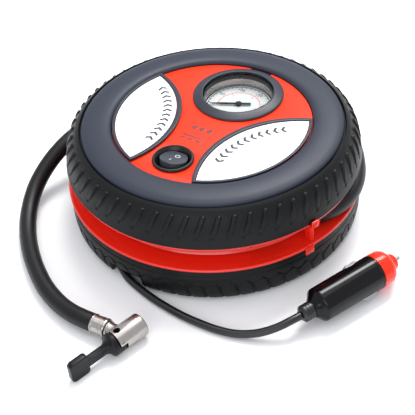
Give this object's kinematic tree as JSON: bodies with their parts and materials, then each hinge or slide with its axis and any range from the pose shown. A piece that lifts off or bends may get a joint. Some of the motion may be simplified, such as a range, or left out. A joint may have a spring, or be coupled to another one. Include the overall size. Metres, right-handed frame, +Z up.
{
  "type": "portable tire inflator",
  "caption": "Round 12 V tyre inflator shaped like a small tyre, with a pressure gauge, rocker switch, air hose in a side channel and a cord with a vehicle power plug.",
  "frame": {"origin": "on the floor under the centre of the tyre-shaped case", "axes": "+Z up along the tyre's axis, +Y from the rocker switch towards the pressure gauge"},
  "size_m": [0.2166, 0.2349, 0.0592],
  "materials": {
    "shell_black": "satin moulded",
    "tread_black": "moulded tread, semi-matt",
    "channel_red": "glossy moulded",
    "panel_red": "satin moulded",
    "inlay_white": "satin",
    "gloss_black": "polished moulded",
    "lens_clear": "clear polycarbonate",
    "chrome": "bright plated",
    "brass": "machined",
    "rubber_black": "matt rubber",
    "cord_black": "glossy flexible PVC",
    "steel": "plated",
    "nylon": "natural nylon",
    "cast_aluminium": "die cast"
  },
  "bodies": {
    "case": {"upper_tyre_shell": "shell_black", "lower_tyre_shell": "tread_black", "channel_upper_rim": "channel_red", "channel_drum": "channel_red", "channel_lower_rim": "channel_red", "top_panel": "panel_red", "left_inlay_frame": "shell_black", "right_inlay_frame": "shell_black", "left_inlay": "inlay_white", "right_inlay": "inlay_white", "gauge_bezel": "gloss_black", "gauge_lens": "lens_clear", "gauge_case": "chrome", "gauge_dial": "inlay_white", "gauge_bourdon_tube": "brass", "gauge_stem": "brass", "switch_housing": "gloss_black", "base_plate": "shell_black", "winding_hub": "shell_black", "foot_1": "rubber_black", "foot_2": "rubber_black", "foot_3": "rubber_black", "foot_4": "rubber_black", "case_screw_1": "steel", "case_screw_2": "steel", "case_screw_3": "steel", "case_screw_4": "steel", "motor_can": "steel", "motor_end_cap": "nylon", "gearbox_bracket": "steel", "gear_axle": "steel", "cylinder": "cast_aluminium", "cylinder_head": "cast_aluminium", "valve_spring": "steel", "air_tube": "rubber_black", "hose_port": "channel_red", "hose": "rubber_black", "hose_ferrule": "chrome", "chuck_body": "chrome", "chuck_seal": "rubber_black", "lever_pin": "steel", "cord_strain_relief": "rubber_black", "cord_coil": "cord_black", "power_cord": "cord_black", "plug_boot": "rubber_black", "plug_body": "gloss_black", "plug_nose_ring": "channel_red"},
    "rocker": {"switch_rocker": "gloss_black"},
    "needle": {"gauge_needle": "gloss_black"},
    "crank": {"crank_gear": "nylon"},
    "rotor": {"motor_shaft": "steel", "motor_pinion": "brass"},
    "piston_rod": {"connecting_rod": "cast_aluminium", "piston": "cast_aluminium", "piston_cup": "rubber_black"},
    "valve_disc": {"outlet_valve": "rubber_black"},
    "thumb_lever": {"chuck_lever": "gloss_black"},
    "plug_pin": {"plug_tip_pin": "steel"},
    "contact_left": {"plug_contact_left": "steel"},
    "contact_right": {"plug_contact_right": "steel"}
  },
  "joints": [
    {"name": "switch_tilt", "type": "hinge", "parent": "case", "child": "rocker", "pos_m": [0, -0.0392, 0.0546], "axis": [1, 0, 0], "range_deg": [0, 26]},
    {"name": "needle_turn", "type": "hinge", "parent": "case", "child": "needle", "pos_m": [0.001, 0.0274, 0.0505], "axis": [0, 0, 1], "range_deg": [-230, 0]},
    {"name": "crank_turn", "type": "hinge", "parent": "case", "child": "crank", "pos_m": [-0.0101, -0.0104, 0.0293], "axis": [1, 0, 0], "continuous": true},
    {"name": "rotor_turn", "type": "hinge", "parent": "case", "child": "rotor", "pos_m": [-0.0101, -0.027, 0.0293], "axis": [1, 0, 0], "continuous": true},
    {"name": "piston_stroke", "type": "slide", "parent": "case", "child": "piston_rod", "axis": [0, 1, 0], "range_m": [0, 0.014]},
    {"name": "valve_lift", "type": "slide", "parent": "case", "child": "valve_disc", "axis": [0, 1, 0], "range_m": [0, 0.0008], "stiffness_N_per_m": 60},
    {"name": "lever_swing", "type": "hinge", "parent": "case", "child": "thumb_lever", "pos_m": [0.02019, -0.12297, 0.0064], "axis": [0, 0, 1], "range_deg": [0, 90]},
    {"name": "plug_pin_press", "type": "slide", "parent": "case", "child": "plug_pin", "axis": [-0.4035, -0.915, 0], "range_m": [0, 0.003], "stiffness_N_per_m": 400},
    {"name": "contact_left_press", "type": "slide", "parent": "case", "child": "contact_left", "axis": [0.7673, -0.3384, -0.5446], "range_m": [0, 0.0014], "stiffness_N_per_m": 400},
    {"name": "contact_right_press", "type": "slide", "parent": "case", "child": "contact_right", "axis": [-0.7673, 0.3384, 0.5446], "range_m": [0, 0.0014], "stiffness_N_per_m": 400}
  ],
  "couplings": [
    {"joint": "rotor_turn", "follows": "crank_turn", "ratio": -4.2222}
  ]
}
